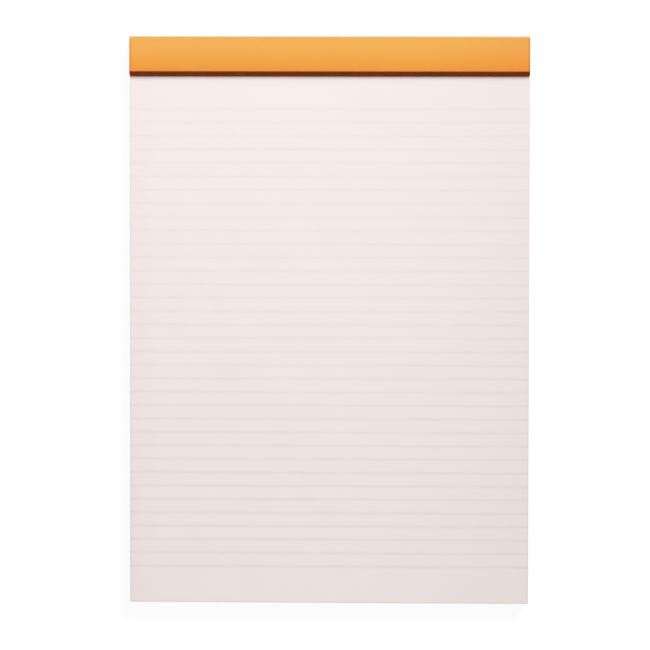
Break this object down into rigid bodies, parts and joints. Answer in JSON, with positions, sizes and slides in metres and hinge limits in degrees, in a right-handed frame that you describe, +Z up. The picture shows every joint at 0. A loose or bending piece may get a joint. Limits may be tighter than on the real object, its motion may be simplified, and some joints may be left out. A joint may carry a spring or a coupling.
{
  "type": "stapled notepad",
  "caption": "Head-stapled A4 pad of ruled tear-off sheets on greyboard, its scored card cover folded right back so a strip shows at the head; the cover swings off the back.",
  "frame": {"origin": "on the surface the pad lies on, below the middle of the pad's outline", "axes": "+X to the right across the sheets, +Y towards the bound head, +Z up out of the writing side"},
  "size_m": [0.21, 0.2982, 0.0138],
  "materials": {
    "ruled_paper": "smooth uncoated writing paper, pale grey ruled lines",
    "greyboard": "matt recycled greyboard with visible fibres",
    "cover_card": "satin coated orange card",
    "stitching_wire": "galvanised round steel wire"
  },
  "bodies": {
    "pad": {"sheet_block": "ruled_paper", "backing_board": "greyboard", "cover_wrap": "cover_card", "staple_left": "stitching_wire", "staple_right": "stitching_wire"},
    "spine_panel": {"cover_spine_panel": "cover_card"},
    "cover": {"cover_panel": "cover_card"}
  },
  "joints": [
    {"name": "cover_top_crease", "type": "hinge", "parent": "pad", "child": "spine_panel", "pos_m": [0, 0.14915, 0.01305], "axis": [1, 0, 0], "range_deg": [0, 90]},
    {"name": "cover_bottom_crease", "type": "hinge", "parent": "spine_panel", "child": "cover", "pos_m": [0, 0.14915, 0], "axis": [1, 0, 0], "range_deg": [0, 90]}
  ]
}
